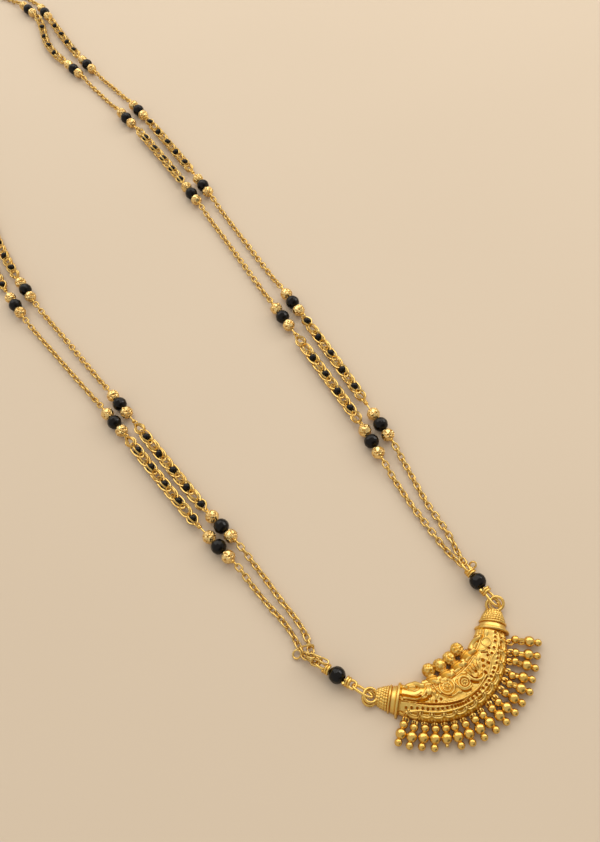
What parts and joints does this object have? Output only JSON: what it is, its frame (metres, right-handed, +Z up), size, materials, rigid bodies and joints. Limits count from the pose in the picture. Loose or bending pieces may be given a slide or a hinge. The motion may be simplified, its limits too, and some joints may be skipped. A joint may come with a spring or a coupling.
{
  "type": "mangalsutra",
  "caption": "Long two-strand necklace with a crescent pendant fringed with ball drops, black and gold beads and lengths of woven chain, lying flat.",
  "frame": {"origin": "on the flat back of the crescent pendant, between its inner and outer edge, on the surface that the necklace lies on", "axes": "+Y from the pendant to the clasp, +Z up from the surface, +X to the wearer's left"},
  "size_m": [0.069, 0.3262, 0.0036],
  "materials": {
    "pendant_gold": "cast and polished yellow gold, darker in the recesses",
    "drop_gold": "bright polished yellow gold",
    "wire_gold": "polished yellow gold wire",
    "chain_gold": "polished yellow gold wire links",
    "bead_gold": "yellow gold with small bright cuts",
    "black_glass": "opaque black glass, polished"
  },
  "bodies": {
    "root": {"crescent": "pendant_gold", "drop_01": "drop_gold", "drop_02": "drop_gold", "drop_03": "drop_gold", "drop_04": "drop_gold", "drop_05": "drop_gold", "drop_06": "drop_gold", "drop_07": "drop_gold", "drop_08": "drop_gold", "drop_09": "drop_gold", "drop_10": "drop_gold", "drop_11": "drop_gold", "drop_12": "drop_gold", "drop_13": "drop_gold", "drop_14": "drop_gold", "drop_15": "drop_gold", "drop_16": "drop_gold", "drop_17": "drop_gold", "right_link_wire": "wire_gold", "right_link_bead": "black_glass", "left_link_wire": "wire_gold", "left_link_bead": "black_glass", "right_outer_fine": "chain_gold", "right_outer_woven_1": "chain_gold", "right_outer_woven_2": "chain_gold", "right_outer_woven_3": "chain_gold", "right_outer_gold_beads": "bead_gold", "right_outer_black_beads": "black_glass", "right_outer_bead_wires": "wire_gold", "right_outer_back_chain": "chain_gold", "right_inner_fine": "chain_gold", "right_inner_woven_1": "chain_gold", "right_inner_woven_2": "chain_gold", "right_inner_woven_3": "chain_gold", "right_inner_gold_beads": "bead_gold", "right_inner_black_beads": "black_glass", "right_inner_bead_wires": "wire_gold", "right_inner_back_chain": "chain_gold", "left_inner_fine": "chain_gold", "left_inner_woven_1": "chain_gold", "left_inner_woven_2": "chain_gold", "left_inner_woven_3": "chain_gold", "left_inner_gold_beads": "bead_gold", "left_inner_black_beads": "black_glass", "left_inner_bead_wires": "wire_gold", "left_inner_back_chain": "chain_gold", "left_outer_fine": "chain_gold", "left_outer_woven_1": "chain_gold", "left_outer_woven_2": "chain_gold", "left_outer_woven_3": "chain_gold", "left_outer_gold_beads": "bead_gold", "left_outer_black_beads": "black_glass", "left_outer_bead_wires": "wire_gold", "left_outer_back_chain": "chain_gold", "clasp": "wire_gold"}
  },
  "joints": []
}
